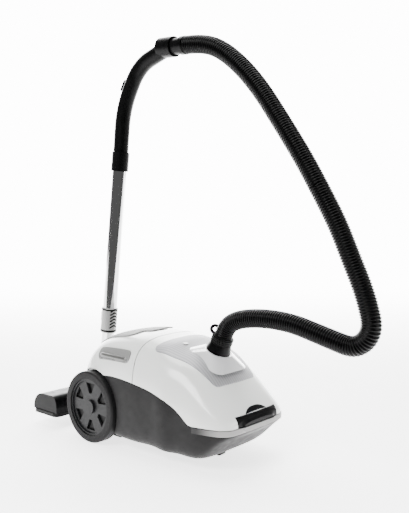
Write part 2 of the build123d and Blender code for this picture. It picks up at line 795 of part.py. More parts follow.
with BuildPart() as holder:
    for side in (-1, 1):
        y = side * 94.0
        add(block(150, 176, y - 2, y + 2, deck_z + 0.1, 172))
        add(block(150, 176, min(y, side * 30), max(y, side * 30), 172, 176))
    add(block(100, 103, -70, 70, deck_z + 0.1, bag_low - 0.3))
    add(block(150, 153, -70, 70, deck_z + 0.1, bag_low - 0.3))
keep(holder, "bag_holder")

with BuildPart() as skids:
    for side in (-1, 1):
        add(block(-42, -18, side * 92 - 8, side * 92 + 8, floor_gap - 9, floor_gap - 0.1))
    fillet(skids.faces().filter_by(Axis.Z).sort_by(Axis.Z)[0].edges(), 3)
keep(skids, "skid_feet")

screw_spots = [(-100, 60), (-100, -60), (110, 90), (110, -90), (180, 84), (180, -84)]
with BuildPart() as screws:
    for x, y in screw_spots:
        add(rod((x, y, floor_gap - 0.1), (x, y, floor_gap - 2.2), 4.2))
keep(screws, "case_screws")

# ---------------------------------------------------------------- parking bracket
slot_half = 9.0
park_z = 157.0
with BuildPart() as park:
    add(block(body_rear_x - 14, body_rear_x - 0.1, -slot_half - 5, slot_half + 5, park_z - 16,
              park_z + 12))
    add(block(body_rear_x - 10, body_rear_x - 3, -slot_half, slot_half, park_z - 17, park_z + 13),
        mode=Mode.SUBTRACT)
    add(block(body_rear_x - 15, body_rear_x - 9, -4, 4, park_z - 17, park_z + 13),
        mode=Mode.SUBTRACT)
keep(park, "parking_bracket")

# ---------------------------------------------------------------- wand
wand_unit = hypot(1, wand_slope)
wand_dir = Vector(wand_slope / wand_unit, 0, 1 / wand_unit)


def on_wand(distance):
    """A point on the wand's axis."""
    return (wand_foot_x + distance * wand_dir.X, 0, distance * wand_dir.Z)


def wand_rod(start, end, radius):
    """A round bar on the wand's axis."""
    return rod(on_wand(start), on_wand(end), radius)


with BuildPart() as lower_tube:
    add(wand_rod(lower_tube_start, lower_tube_end, inner_tube_radius))
    add(wand_rod(lower_tube_start - 1, lower_tube_end + 1, inner_tube_radius - tube_wall),
        mode=Mode.SUBTRACT)
keep(lower_tube, "wand_lower_tube")

upper_tube_start = collar_start + 12.0
with BuildPart() as upper_tube:
    add(wand_rod(upper_tube_start, upper_tube_end, tube_radius))
    add(wand_rod(upper_tube_start - 1, upper_tube_end + 1, tube_radius - tube_wall),
        mode=Mode.SUBTRACT)
keep(upper_tube, "wand_upper_tube")

with BuildPart() as collar:
    add(wand_rod(collar_start, collar_end, collar_radius))
    fillet(collar.edges().filter_by(GeomType.CIRCLE), 1.2)
    add(wand_rod(collar_start - 1, collar_end + 1, inner_tube_radius + run_gap), mode=Mode.SUBTRACT)
    add(wand_rod(upper_tube_start - 0.1, collar_end + 1, tube_radius + 0.05), mode=Mode.SUBTRACT)
keep(collar, "wand_collar")

button_plane = Plane(origin=on_wand(collar_start + 26), x_dir=(wand_dir.Z, 0, -wand_dir.X),
                     z_dir=(wand_dir.X, 0, wand_dir.Z))
with BuildPart() as button:
    with BuildSketch(button_plane):
        with Locations((-collar_radius - 2.4, 0)):
            RectangleRounded(4, 15, 1.8)
    extrude(amount=22)
keep(button, "collar_button")

# ---------------------------------------------------------------- wand handle
grip_points = [on_wand(upper_tube_end + 1), (-112, 0, 790), (-55, 0, 882), (30, 0, 907)]


def bend_radii(points):
    """A generous bend for each inner corner of a route."""
    radii = []
    for before, here, after in zip(points, points[1:], points[2:]):
        first = Vector(*here) - Vector(*before)
        second = Vector(*after) - Vector(*here)
        turn = radians(first.get_angle(second))
        radii.append(0.45 * min(first.length, second.length) / tan(turn / 2))
    return radii


def tube_path(points):
    """Straight runs joined by tangent arcs."""
    return FilletPolyline(*points, radius=bend_radii(points))


socket_dir = Vector(1, 0, -0.07).normalized()
cuff_end = (98.0, 0, 906.8)


def on_cuff(distance):
    """A point on the hose cuff's axis, measured back from the hose."""
    return (cuff_end[0] - distance * socket_dir.X, 0, cuff_end[2] - distance * socket_dir.Z)


with BuildPart() as grip:
    with BuildLine() as grip_line:
        tube_path(grip_points)
    with BuildSketch(Plane(origin=grip_line.line @ 0, z_dir=grip_line.line % 0)):
        Circle(grip_radius)
        Circle(grip_radius - 3, mode=Mode.SUBTRACT)
    sweep()
    add(rod(on_cuff(78), on_cuff(36), socket_radius))
    add(rod(on_cuff(66), on_cuff(30), 18.6), mode=Mode.SUBTRACT)
keep(grip, "wand_handle")

with BuildPart() as grip_cuff:
    add(wand_rod(upper_tube_end - 22, upper_tube_end + 24, grip_radius + 2.6))
    add(wand_rod(upper_tube_end - 23, upper_tube_end + 0.5, tube_radius + 0.05), mode=Mode.SUBTRACT)
    add(wand_rod(upper_tube_end, upper_tube_end + 25, grip_radius + 0.4), mode=Mode.SUBTRACT)
keep(grip_cuff, "handle_cuff")

air_x = -104.2
air_z = 840.5
air_plane = Plane(origin=(air_x, 0, air_z), z_dir=(-0.85, 0, 0.527), x_dir=(0, 1, 0))
with BuildPart() as air_slider:
    with BuildSketch(air_plane):
        RectangleRounded(16, 30, 6)
    extrude(amount=5)
keep(air_slider, "air_slider")

with BuildPart() as hose_cuff:
    add(rod(on_cuff(64), on_cuff(0), 18.3))
    add(rod(on_cuff(12), on_cuff(0), 20.5))
    add(rod(on_cuff(66), on_cuff(-1), 14.5), mode=Mode.SUBTRACT)
keep(hose_cuff, "hose_cuff")

# ---------------------------------------------------------------- hose connector and hose
hose_start = 62.0
with BuildPart() as connector:
    add(rod(on_port(4.3), on_port(hose_start), 22))
    with BuildSketch(port_plane(collar_high + 0.6)):
        Circle(28)
    with BuildSketch(port_plane(collar_high + 20)):
        Circle(23.5)
    loft()
    for i in range(3):
        add(rod(on_port(collar_high + 22 + 4.5 * i), on_port(collar_high + 25 + 4.5 * i), 24.5))
    add(rod(on_port(4.3), on_port(collar_high + 1), 25))
    add(rod(on_port(0), on_port(hose_start + 1), 17), mode=Mode.SUBTRACT)
keep(connector, "hose_connector")

hose_points = [
    on_port(hose_start), on_port(hose_start + 22), (238, 0, 302.5), (275, 0, 312.5), (330, 0, 317),
    (390, 0, 313.5), (450, 0, 299), (487, 0, 290), (519.6, 0, 282.6), (541.4, 0, 290),
    (557, 0, 307.1), (562.5, 0, 329.5), (554.5, 0, 362), (540, 0, 402), (517, 0, 450),
    (489, 0, 512), (452, 0, 574), (411, 0, 640), (362, 0, 709), (306, 0, 786), (253, 0, 842),
    (196, 0, 885), on_cuff(-44), cuff_end,
]
with BuildPart() as hose:
    with BuildLine() as hose_line:
        tube_path(hose_points)
    with BuildSketch(Plane(origin=hose_line.line @ 0, z_dir=hose_line.line % 0)):
        Circle(hose_radius)
        Circle(hose_radius - 3, mode=Mode.SUBTRACT)
    sweep()
keep(hose, "hose")
print("hose bends", [round(r) for r in bend_radii(hose_points)])
section = pi * (hose_radius ** 2 - (hose_radius - 3) ** 2)
print("hose length", round(hose_line.wires()[0].length), "from volume", round(hose.part.volume / section))

# ---------------------------------------------------------------- floor nozzle
elbow_top = lower_tube_start + 30.0
corner_point = on_wand(84)
with BuildPart() as elbow:
    add(wand_rod(84, elbow_top, 19))
    add(Pos(*corner_point) * Sphere(19, mode=Mode.PRIVATE))
    add(rod(corner_point, (nozzle_pivot_x, 0, nozzle_pivot_z), 17))
    add(rod((nozzle_pivot_x, -23.5, nozzle_pivot_z), (nozzle_pivot_x, 23.5, nozzle_pivot_z), 19))
    add(wand_rod(lower_tube_start - 0.1, elbow_top + 1, inner_tube_radius + run_gap),
        mode=Mode.SUBTRACT)
    add(wand_rod(90, lower_tube_start + 1, 13), mode=Mode.SUBTRACT)
    hook_x = body_rear_x - 6.5
    add(block(hook_x - 30, hook_x + 2.5, -3, 3, park_z - 8, park_z + 8))
    add(block(hook_x - 2.5, hook_x + 2.5, -slot_half + 1, slot_half - 1, park_z - 8, park_z + 8))
    add(wand_rod(lower_tube_start - 0.1, elbow_top + 1, inner_tube_radius + run_gap),
        mode=Mode.SUBTRACT)
    add(rod((nozzle_pivot_x, -30, nozzle_pivot_z), (nozzle_pivot_x, 30, nozzle_pivot_z), 4.05),
        mode=Mode.SUBTRACT)
keep(elbow, "nozzle_elbow")

nozzle_rear_x = nozzle_front_x + nozzle_length
nozzle_half = nozzle_width / 2
sole_thick = 9.0
with BuildPart() as sole:
    add(block(nozzle_front_x, nozzle_rear_x, -nozzle_half, nozzle_half, nozzle_sole_z,
              nozzle_sole_z + sole_thick))
    fillet(sole.edges().filter_by(Axis.Z), 14)
    add(block(nozzle_front_x + 24, nozzle_front_x + 44, -nozzle_half + 22, nozzle_half - 22,
              nozzle_sole_z - 1, nozzle_sole_z + sole_thick + 1), mode=Mode.SUBTRACT)
    for side in (-1, 1):
        y = side * 70
        add(block(nozzle_rear_x - 24, nozzle_rear_x - 4, y - 9, y + 9, nozzle_sole_z - 1,
                  nozzle_sole_z + sole_thick + 1), mode=Mode.SUBTRACT)
    add(block(nozzle_pivot_x + 10, nozzle_rear_x + 5, -25.5, 25.5, nozzle_sole_z - 1,
              nozzle_sole_z + sole_thick + 1), mode=Mode.SUBTRACT)
keep(sole, "nozzle_sole")

cover_low = nozzle_sole_z + sole_thick
rocker_x = nozzle_front_x + 30.0
hump_half = 37.0
with BuildPart() as cover:
    with BuildSketch(Plane.XZ):
        with BuildLine():
            front = nozzle_front_x + 1
            back = nozzle_rear_x - 1
            top = nozzle_sole_z + nozzle_height
            Line((front, cover_low), (front, cover_low + 10))
            Spline((front, cover_low + 10), (front + 26, top - 6), (back - 30, top - 4),
                   (back, cover_low + 14), tangents=[(0.2, 1), (0.1, -1)])
            Polyline((back, cover_low + 14), (back, cover_low), (front, cover_low))
        make_face()
    extrude(amount=nozzle_half - 2, both=True)
    add(block(front + 5, back - 5, -nozzle_half + 7, nozzle_half - 7, cover_low - 1,
              cover_low + 9), mode=Mode.SUBTRACT)
    add(rod((nozzle_pivot_x, -hump_half, nozzle_pivot_z), (nozzle_pivot_x, hump_half, nozzle_pivot_z),
            30))
    add(block(-reach, reach, -reach, reach, 0, cover_low), mode=Mode.SUBTRACT)
    add(block(nozzle_pivot_x - 21, nozzle_rear_x + 15, -25.5, 25.5, cover_low - 1, reach),
        mode=Mode.SUBTRACT)
    add(rod((nozzle_pivot_x, -60, nozzle_pivot_z), (nozzle_pivot_x, 60, nozzle_pivot_z), 4.02),
        mode=Mode.SUBTRACT)
    add(block(rocker_x - 13, rocker_x + 13, 62, 106, top - 18, reach), mode=Mode.SUBTRACT)
    for side in (-1, 1):
        y = side * 70
        add(block(nozzle_rear_x - 24, nozzle_rear_x - 3, y - 10, y + 10, cover_low - 1, cover_low + 7),
            mode=Mode.SUBTRACT)
keep(cover, "nozzle_cover")

with BuildPart() as neck_pin:
    add(rod((nozzle_pivot_x, -35.5, nozzle_pivot_z), (nozzle_pivot_x, 35.5, nozzle_pivot_z), 4))
keep(neck_pin, "nozzle_neck_pin")

rocker_z = nozzle_sole_z + nozzle_height - 8
with BuildPart() as rocker:
    add(block(rocker_x - 10, rocker_x + 10, 63, 105, rocker_z - 5, rocker_z + 7))
    add(rod((rocker_x, 62.4, rocker_z - 6), (rocker_x, 105.6, rocker_z - 6), 3.5))
keep(rocker, "nozzle_rocker")

with BuildPart() as brushes:
    add(block(nozzle_front_x + 12, nozzle_front_x + 17, -nozzle_half + 20, nozzle_half - 20,
              nozzle_sole_z - 6, nozzle_sole_z - 0.1))
keep(brushes, "nozzle_brush")

small_wheel = 8.0
with BuildPart() as rollers:
    for side in (-1, 1):
        y = side * 70
        x = nozzle_rear_x - 14
        z = nozzle_sole_z + 4
        add(rod((x, y - 6, z), (x, y + 6, z), small_wheel))
        add(rod((x, y - 8.7, z), (x, y + 8.7, z), 2))
keep(rollers, "nozzle_wheels")
print(len(pieces), "pieces")
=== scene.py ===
"""Looks of the canister vacuum cleaner: materials, the ribbed hose, trim, studio and camera."""
import json
from math import cos, pi, radians, sin

import bmesh
import bpy
from mathutils import Matrix, Vector
from mathutils.bvhtree import BVHTree


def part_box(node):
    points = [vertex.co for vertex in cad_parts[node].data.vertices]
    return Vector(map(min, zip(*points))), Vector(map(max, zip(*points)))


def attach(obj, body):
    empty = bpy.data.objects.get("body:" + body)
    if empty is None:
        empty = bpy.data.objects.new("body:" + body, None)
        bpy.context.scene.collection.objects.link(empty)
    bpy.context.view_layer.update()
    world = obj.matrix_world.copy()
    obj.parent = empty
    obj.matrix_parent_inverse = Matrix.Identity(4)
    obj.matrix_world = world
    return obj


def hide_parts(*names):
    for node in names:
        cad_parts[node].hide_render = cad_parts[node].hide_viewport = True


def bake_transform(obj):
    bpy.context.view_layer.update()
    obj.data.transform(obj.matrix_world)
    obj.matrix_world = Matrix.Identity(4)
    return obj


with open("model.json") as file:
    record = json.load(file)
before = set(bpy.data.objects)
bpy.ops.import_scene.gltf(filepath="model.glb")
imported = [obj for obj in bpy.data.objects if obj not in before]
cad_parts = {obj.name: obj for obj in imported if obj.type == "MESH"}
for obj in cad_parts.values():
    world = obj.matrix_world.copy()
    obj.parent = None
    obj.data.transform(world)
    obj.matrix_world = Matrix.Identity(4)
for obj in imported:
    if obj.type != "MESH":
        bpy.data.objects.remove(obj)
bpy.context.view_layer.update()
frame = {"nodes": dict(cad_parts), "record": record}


# ------------------------------------------------------------------ material helpers
def new_material(name, color, rough, metallic=0.0, coat=0.0, specular=0.5):
    """A material whose constant values sit on the shader's own sockets."""
    material = bpy.data.materials.new(name)
    material.use_nodes = True
    shader = material.node_tree.nodes["Principled BSDF"]
    shader.inputs["Base Color"].default_value = (*color, 1)
    shader.inputs["Roughness"].default_value = rough
    shader.inputs["Metallic"].default_value = metallic
    shader.inputs["Coat Weight"].default_value = coat
    shader.inputs["Coat Roughness"].default_value = 0.08
    shader.inputs["Specular IOR Level"].default_value = specular
    return material, shader


def node(material, kind, **values):
    """Add a node and set its plain properties."""
    made = material.node_tree.nodes.new(kind)
    for key, value in values.items():
        setattr(made, key, value)
    return made


def link(material, source, target):
    material.node_tree.links.new(source, target)


def noise(material, scale, detail=3.0, stretch=(1, 1, 1)):
    """Noise in object space, in cycles per metre."""
    place = node(material, "ShaderNodeTexCoord")
    mapping = node(material, "ShaderNodeMapping")
    mapping.inputs["Scale"].default_value = stretch
    texture = node(material, "ShaderNodeTexNoise")
    texture.inputs["Scale"].default_value = scale
    texture.inputs["Detail"].default_value = detail
    link(material, place.outputs["Object"], mapping.inputs["Vector"])
    link(material, mapping.outputs["Vector"], texture.inputs["Vector"])
    return texture.outputs["Fac"]


def ranged(material, value, low, high):
    """Spread a 0 to 1 pattern over a range."""
    spread = node(material, "ShaderNodeMapRange")
    spread.inputs["From Min"].default_value = 0.3
    spread.inputs["From Max"].default_value = 0.7
    spread.inputs["To Min"].default_value = low
    spread.inputs["To Max"].default_value = high
    link(material, value, spread.inputs["Value"])
    return spread.outputs["Result"]


def tinted(material, shader, value, first, second):
    """Colour that wanders between two tints."""
    mix = node(material, "ShaderNodeMix", data_type="RGBA")
    mix.inputs["A"].default_value = (*first, 1)
    mix.inputs["B"].default_value = (*second, 1)
    link(material, value, mix.inputs["Factor"])
    link(material, mix.outputs["Result"], shader.inputs["Base Color"])


def bumped(material, shader, value, strength, distance):
    """Raise the surface by a pattern."""
    bump = node(material, "ShaderNodeBump")
    bump.inputs["Strength"].default_value = strength
    bump.inputs["Distance"].default_value = distance
    link(material, value, bump.inputs["Height"])
    link(material, bump.outputs["Normal"], shader.inputs["Normal"])


def shade(color, factor):
    return tuple(min(1.0, c * factor) for c in color)


def moulded(name, color, rough, coat=0.0, grain=900.0, depth=0.00004, variation=0.06, metallic=0.0,
            specular=0.5):
    """Moulded plastic: faint cloudiness, uneven gloss and a fine grain."""
    material, shader = new_material(name, color, rough, metallic, coat, specular)
    cloud = noise(material, 14.0, 4.0)
    tinted(material, shader, cloud, shade(color, 1 - variation), shade(color, 1 + variation))
    gloss = noise(material, 60.0, 5.0)
    link(material, ranged(material, gloss, rough * 0.85, rough * 1.2), shader.inputs["Roughness"])
    bumped(material, shader, noise(material, grain, 2.0), 0.35, depth)
    return material


def metal(name, color, rough, stretch=(1, 1, 1), scale=500.0, depth=0.00001):
    """Polished or brushed metal with fine drawing marks."""
    material, shader = new_material(name, color, rough, 1.0)
    marks = noise(material, scale, 4.0, stretch)
    link(material, ranged(material, marks, rough * 0.7, rough * 1.5), shader.inputs["Roughness"])
    tinted(material, shader, noise(material, 30.0), shade(color, 0.95), shade(color, 1.03))
    bumped(material, shader, marks, 0.2, depth)
    return material


def fibrous(name, color, scale, depth):
    """Fleece, foam or bristle: soft, matte and fibrous."""
    material, shader = new_material(name, color, 0.9, specular=0.2)
    shader.inputs["Sheen Weight"].default_value = 0.25
    threads = noise(material, scale, 8.0, (1, 1, 2.5))
    tinted(material, shader, threads, shade(color, 0.8), shade(color, 1.1))
    bumped(material, shader, threads, 0.8, depth)
    return material


def panel_silver():
    """Silver paint over a pattern of fine arcs, as pressed into the lid panel."""
    color = (0.29, 0.29, 0.3)
    material, shader = new_material("lid_panel_silver", color, 0.45, 0.25, 0.0, 0.25)
    place = node(material, "ShaderNodeTexCoord")
    mapping = node(material, "ShaderNodeMapping")
    mapping.inputs["Location"].default_value = (-0.20, 0.42, 0.0)
    mapping.inputs["Scale"].default_value = (1, 1, 0.02)
    link(material, place.outputs["Object"], mapping.inputs["Vector"])
    arcs = node(material, "ShaderNodeTexWave", wave_type="RINGS", rings_direction="SPHERICAL")
    arcs.inputs["Scale"].default_value = 48.0
    arcs.inputs["Distortion"].default_value = 0.4
    link(material, mapping.outputs["Vector"], arcs.inputs["Vector"])
    sparkle = noise(material, 2400.0, 2.0)
    tinted(material, shader, arcs.outputs["Fac"], shade(color, 0.86), shade(color, 1.12))
    link(material, ranged(material, sparkle, 0.36, 0.5), shader.inputs["Roughness"])
    bumped(material, shader, arcs.outputs["Fac"], 0.35, 0.00015)
    return material


def tyre_rubber():
    """Black rubber with shallow scuffs."""
    color = (0.0045, 0.0044, 0.0046)
    material, shader = new_material("tyre_rubber", color, 0.55, specular=0.12)
    scuffs = noise(material, 220.0, 6.0)
    tinted(material, shader, scuffs, shade(color, 0.8), shade(color, 1.9))
    link(material, ranged(material, scuffs, 0.45, 0.7), shader.inputs["Roughness"])
    bumped(material, shader, scuffs, 0.4, 0.0001)
    return material


def shaded_nose_band():
    """Grey lip with painted shade: it darkens towards its two ends, where it meets the lower casing."""
    material, shader = new_material("grey_band", (0.2, 0.195, 0.19), 0.36, specular=0.25)
    place = node(material, "ShaderNodeTexCoord")
    split = node(material, "ShaderNodeSeparateXYZ")
    link(material, place.outputs["Object"], split.inputs["Vector"])
    along = node(material, "ShaderNodeMapRange", interpolation_type="SMOOTHSTEP")
    along.inputs["From Min"].default_value = 0.232
    along.inputs["From Max"].default_value = 0.292
    link(material, split.outputs["X"], along.inputs["Value"])
    # Painted shade: the lip's colour runs from grey at the front to near black towards its ends.
    tinted(material, shader, along.outputs["Result"], (0.008, 0.0077, 0.0078), (0.24, 0.235, 0.23))
    bumped(material, shader, noise(material, 600, 2.0), 0.35, 0.00002)
    return material


materials = {
    "white_shell": moulded("white_shell", (0.70, 0.71, 0.69), 0.2, 0.4, 400, 0.00002, 0.015),
    "dark_shell": moulded("dark_shell", (0.006, 0.0057, 0.0059), 0.45, 0.0, 1400, 0.00005, 0.1,
                          specular=0.12),
    "silver_trim": moulded("silver_trim", (0.27, 0.27, 0.265), 0.3, 0.2, 2200, 0.00001, 0.05, 0.4),
    "lid_panel": panel_silver(),
    "bright_collar": moulded("bright_collar", (0.86, 0.86, 0.87), 0.14, 0.6, 300, 0.00001, 0.02, 0.35),
    "black_plastic": moulded("black_plastic", (0.0016, 0.0016, 0.0017), 0.34, 0.0, 1200, 0.00003, 0.1,
                             specular=0.08),
    "grey_band": shaded_nose_band(),
    "dark_hub": moulded("dark_hub", (0.0085, 0.0085, 0.009), 0.38, 0.0, 1100, 0.00003, 0.08,
                        specular=0.15),
    "tyre_rubber": tyre_rubber(),
    "hose_rubber": moulded("hose_rubber", (0.0013, 0.0013, 0.0014), 0.3, 0.0, 900, 0.00003, 0.15,
                           specular=0.08),
    "chrome_tube": metal("chrome_tube", (0.72, 0.72, 0.72), 0.08, (1, 1, 0.03), 700),
    "steel_pin": metal("steel_pin", (0.6, 0.6, 0.62), 0.3, (1, 0.05, 1), 900),
    "motor_metal": metal("motor_metal", (0.66, 0.66, 0.68), 0.35, (0.05, 1, 1), 600),
    "board_green": moulded("board_green", (0.05, 0.2, 0.09), 0.45, 0.2, 500, 0.00006, 0.25),
    "filter_white": fibrous("filter_white", (0.75, 0.75, 0.72), 500, 0.0006),
    "bag_fleece": fibrous("bag_fleece", (0.78, 0.73, 0.63), 260, 0.0008),
    "brush_bristle": fibrous("brush_bristle", (0.03, 0.03, 0.03), 1800, 0.001),
}


def body_of(name):
    """The body that a CAD node belongs to."""
    for body, members in frame["record"]["behaviour"]["bodies"].items():
        if name in members:
            return body
    return "root"


slots = {part["node"]: part["material_slot"] for part in frame["record"]["subparts"]}
materials["handle_silver"] = moulded("handle_silver", (0.30, 0.30, 0.295), 0.6, 0.0, 2600, 0.00003, 0.06,
                                     specular=0.12)
# These pieces are seen in a finish a little apart from their record's slot.
slots["lid_panel"] = "lid_panel"
slots["carry_handle"] = "handle_silver"
for name in ("nozzle_cover", "nozzle_sole", "nozzle_elbow"):
    slots[name] = "black_plastic"
for name, cad_object in frame["nodes"].items():
    finish = materials[slots[name]]
    cad_object.data.materials.clear()
    cad_object.data.materials.append(finish)


# ------------------------------------------------------------------ mesh helpers
def finished(name, mesh, finish, body, smooth=True):
    """Put a mesh in the scene, riding on its body."""
    piece = bpy.data.objects.new(name, mesh)
    bpy.context.collection.objects.link(piece)
    piece.data.materials.append(materials[finish])
    if smooth:
        for polygon in mesh.polygons:
            polygon.use_smooth = True
    if body:
        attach(piece, body)
    return piece


def circle(centre, across, up, half_across, half_up, around):
    """Points around an ellipse with the given half widths."""
    angles = [2 * pi * k / around for k in range(around)]
    return [centre + across * (half_across * cos(a)) + up * (half_up * sin(a)) for a in angles]


def skin_mesh(name, outlines):
    """A closed skin over outlines that follow one another."""
    mesh = bmesh.new()
    rings = [[mesh.verts.new(point) for point in outline] for outline in outlines]
    around = len(rings[0])
    for first, second in zip(rings, rings[1:]):
        for k in range(around):
            after = (k + 1) % around
            mesh.faces.new((first[k], first[after], second[after], second[k]))
    mesh.faces.new(list(reversed(rings[0])))
    mesh.faces.new(rings[-1])
    bmesh.ops.recalc_face_normals(mesh, faces=mesh.faces)
    data = bpy.data.meshes.new(name)
    mesh.to_mesh(data)
    mesh.free()
    return data


def tube_mesh(name, points, radii, around=40):
    """A tube through points with its own radius at each, kept from twisting."""
    outlines = []
    side = Vector((0, 1, 0))
    for i, point in enumerate(points):
        before = points[max(i - 1, 0)]
        after = points[min(i + 1, len(points) - 1)]
        along = (after - before).normalized()
        up = along.cross(side).normalized()
        outlines.append(circle(point, up.cross(along), up, radii[i], radii[i], around))
    return skin_mesh(name, outlines)


# ------------------------------------------------------------------ hose
HOSE_RADIUS = 0.020
port_tilt = radians(23.15)
port_axis = Vector((sin(port_tilt), 0, cos(port_tilt)))
port = Vector((0.1835, 0, 0.210))
hose_exit = port + port_axis * 0.062
cuff_axis = Vector((1, 0, -0.07)).normalized()
cuff_mouth = Vector((0.098, 0, 0.9068))
hose_route = [
    hose_exit, port + port_axis * 0.084, (0.238, 0, 0.3025), (0.275, 0, 0.3125),
    (0.330, 0, 0.317), (0.390, 0, 0.3135), (0.450, 0, 0.299), (0.487, 0, 0.290),
    (0.5196, 0, 0.2826), (0.5414, 0, 0.290), (0.557, 0, 0.3071), (0.5625, 0, 0.3295),
    (0.5545, 0, 0.362), (0.540, 0, 0.402), (0.517, 0, 0.450), (0.489, 0, 0.512),
    (0.452, 0, 0.574), (0.411, 0, 0.640), (0.362, 0, 0.709), (0.306, 0, 0.786),
    (0.253, 0, 0.842), (0.196, 0, 0.885), cuff_mouth + cuff_axis * 0.044, cuff_mouth,
]


def route_line(points, steps=24):
    """The smooth line of a NURBS spline with the points as its control points."""
    curve = bpy.data.curves.new("route", "CURVE")
    curve.dimensions = "3D"
    spline = curve.splines.new("NURBS")
    spline.points.add(len(points) - 1)
    for control, point in zip(spline.points, points):
        control.co = (*point, 1)
    spline.order_u = 3
    spline.use_endpoint_u = True
    spline.resolution_u = steps
    holder = bpy.data.objects.new("route", curve)
    bpy.context.collection.objects.link(holder)
    bpy.context.view_layer.update()
    mesh = holder.to_mesh()
    line = [v.co.copy() for v in mesh.vertices]
    holder.to_mesh_clear()
    bpy.data.objects.remove(holder)
    bpy.data.curves.remove(curve)
    return line


def lengths_along(line):
    """Distance from the start at each point of a line."""
    total = [0.0]
    for before, after in zip(line, line[1:]):
        total.append(total[-1] + (after - before).length)
    return total


def resampled(line, spacing):
    """The same line with evenly spaced points."""
    total = lengths_along(line)
    count = max(2, round(total[-1] / spacing))
    points = []
    j = 0
    for i in range(count + 1):
        wanted = total[-1] * i / count
        while j < len(total) - 2 and total[j + 1] < wanted:
            j += 1
        share = (wanted - total[j]) / (total[j + 1] - total[j])
        points.append(line[j].lerp(line[j + 1], share))
    return points


RIB_PITCH = 0.0056
RIB_DEPTH = 0.0021
RIB_STEPS = 6
hose_line = resampled(route_line(hose_route), RIB_PITCH / RIB_STEPS)
hose_last = len(hose_line) - 1
# The hose crosses three joints, one after the other, so it is three lengths end to end.
hose_cuts = (0.0, 0.30, 0.58, 1.0)
hose_bodies = (("lid", "machine"), ("machine", "wand_lower"), ("wand_lower", "wand_upper"))


def rib_radius(i):
    """Rounded ribs with narrow valleys."""
    phase = (i % RIB_STEPS) / RIB_STEPS
    return HOSE_RADIUS - RIB_DEPTH + RIB_DEPTH * (0.5 - 0.5 * cos(2 * pi * phase)) ** 0.6


def cut_index(share):
    """The point on the hose's line at the valley nearest a share of its length."""
    return round(share * hose_last / RIB_STEPS) * RIB_STEPS if share < 1 else hose_last


for number, (before, after) in enumerate(hose_bodies):
    first = cut_index(hose_cuts[number])
    last = cut_index(hose_cuts[number + 1])
    stretch = hose_line[first:last + 1]
    radii = [rib_radius(first + i) for i in range(len(stretch))]
    data = tube_mesh(f"hose_{number}", stretch, radii)
    piece = finished(f"hose_length_{number + 1}", data, "hose_rubber", None)
    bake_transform(piece)
    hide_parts("hose")


# ------------------------------------------------------------------ trim, and sheets of painted shade, laid on the CAD faces
def surface_of(name):
    """A search tree over one CAD node."""
    return BVHTree.FromObject(frame["nodes"][name], bpy.context.evaluated_depsgraph_get())


def laid_on(tree, start, way, lift):
    """The first point of the surface along a ray, lifted off it a little."""
    hit, normal, _, _ = tree.ray_cast(Vector(start), Vector(way))
    if hit is None:
        return None
    if normal.dot(Vector(way)) > 0:
        normal = -normal
    return hit + normal * lift


AHEAD_OF_NOSE = 0.5


def arched_patch(name, target, half, base, heights, finish, body, lift=0.0005, columns=48, rows=8):
    """A patch on a nose face: level on one side, curved on the other."""
    tree = surface_of(target)
    points, faces = [], []
    for i in range(columns + 1):
        y = -half + 2 * half * i / columns
        edge = base + heights(y / half)
        for j in range(rows + 1):
            height = base + (edge - base) * j / rows
            points.append(laid_on(tree, (AHEAD_OF_NOSE, y, height), (-1, 0, 0), lift))
    for i in range(columns):
        for j in range(rows):
            corners = (i * (rows + 1) + j, i * (rows + 1) + j + 1, (i + 1) * (rows + 1) + j + 1,
                       (i + 1) * (rows + 1) + j)
            if all(points[k] is not None for k in corners):
                faces.append(corners)
    # A ray that met nothing leaves a stand-in point, which no face uses and which is deleted below.
    data = bpy.data.meshes.new(name)
    stand_in = Vector((0.2, 0, 0.1))
    data.from_pydata([stand_in if point is None else point for point in points], [], faces)
    mesh = bmesh.new()
    mesh.from_mesh(data)
    bmesh.ops.delete(mesh, geom=[v for v in mesh.verts if not v.link_faces], context="VERTS")
    bmesh.ops.recalc_face_normals(mesh, faces=mesh.faces)
    mesh.to_mesh(data)
    mesh.free()
    return finished(name, data, finish, body)


LIP_STEPS = 32
LIP_REAR = -0.0665
LIP_LENGTH = 0.095
LIP_LEVEL = 0.2065
LIP_INSET = 0.0036
LIP_RADIUS = 0.0064
BESIDE_PEDALS = 0.3
materials["pedal_lip"] = moulded("pedal_lip", (0.11, 0.11, 0.105), 0.32, 0.2, 2200, 0.00001, 0.05, 0.4)


def rounded_end(steps_in):
    """Share of the full radius a few steps in from the end of a lip."""
    return (0.25 + steps_in / 3) ** 0.5


for side, pedal in ((-1, "power_pedal"), (1, "rewind_pedal")):
    tree = surface_of(pedal)
    lip_points = []
    for i in range(LIP_STEPS + 1):
        x = LIP_REAR + LIP_LENGTH * i / LIP_STEPS
        spot = laid_on(tree, (x, side * BESIDE_PEDALS, LIP_LEVEL), (0, -side, 0), 0.0)
        if spot is not None:
            lip_points.append(spot + Vector((0, -side * LIP_INSET, 0)))
    lip_last = len(lip_points) - 1
    lip_radii = [LIP_RADIUS * min(1.0, rounded_end(i), rounded_end(lip_last - i))
                 for i in range(lip_last + 1)]
    lip_data = tube_mesh(pedal + "_lip", lip_points, lip_radii, 20)
    lip = finished(pedal + "_lip", lip_data, "pedal_lip", body_of(pedal))

latch_hollow = arched_patch("latch_hollow", "lid_shell", 0.036, 0.1185,
                            lambda t: 0.0105 * max(0.0, 1 - abs(t) ** 2.6), "black_plastic", "lid")
# Painted shade: a black sheet on the lower casing's front, curving down in the middle, where the front is
# recessed and in shadow.
nose_recess_shade = arched_patch("nose_recess_shade", "lower_shell", 0.072, 0.0826,
                           lambda t: -0.0150 * max(0.0, 1 - abs(t) ** 2.2), "black_plastic", "machine")

